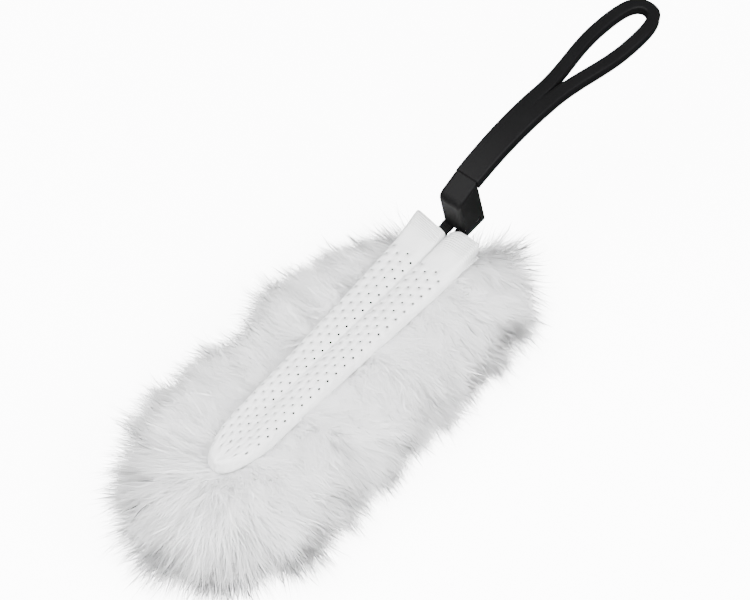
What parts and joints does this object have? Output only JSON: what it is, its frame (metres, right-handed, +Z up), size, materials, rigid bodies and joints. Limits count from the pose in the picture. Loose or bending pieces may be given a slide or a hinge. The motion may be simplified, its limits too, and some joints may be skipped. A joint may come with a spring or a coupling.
{
  "type": "folding hand duster",
  "caption": "Hand duster: a looped, arched grip on a neck hinged to a flat forked tongue, which slides into the pockets of a fluffy white fibre refill.",
  "frame": {"origin": "centre of the duster's outline on the surface that it lies on", "axes": "+X from the fibre tip to the hanging loop, +Z up from the surface to the handle, Y across the duster"},
  "size_m": [0.342, 0.1, 0.0787],
  "materials": {
    "handle_plastic": "satin",
    "pin_steel": "satin",
    "sleeve_nonwoven": "matte",
    "strip_nonwoven": "matte",
    "white_fibre": "matte"
  },
  "bodies": {
    "handle": {"grip": "handle_plastic", "neck_housing": "handle_plastic", "hinge_pin": "pin_steel"},
    "fork": {"fork": "handle_plastic"},
    "refill": {"sleeve_top": "sleeve_nonwoven", "sleeve_base": "sleeve_nonwoven", "strip_sheet_upper": "strip_nonwoven", "fibre_layer_top": "white_fibre", "fibre_layer_upper_middle": "white_fibre", "fibre_layer_lower_middle": "white_fibre", "strip_sheet_lower": "strip_nonwoven", "fibre_layer_bottom": "white_fibre"}
  },
  "joints": [
    {"name": "fork_fold", "type": "hinge", "parent": "handle", "child": "fork", "pos_m": [0.0446, 0, 0.0466], "axis": [0, -1, 0], "range_deg": [0, 125]},
    {"name": "refill_slide", "type": "slide", "parent": "fork", "child": "refill", "axis": [-1, 0, 0], "range_m": [0, 0.14]}
  ]
}
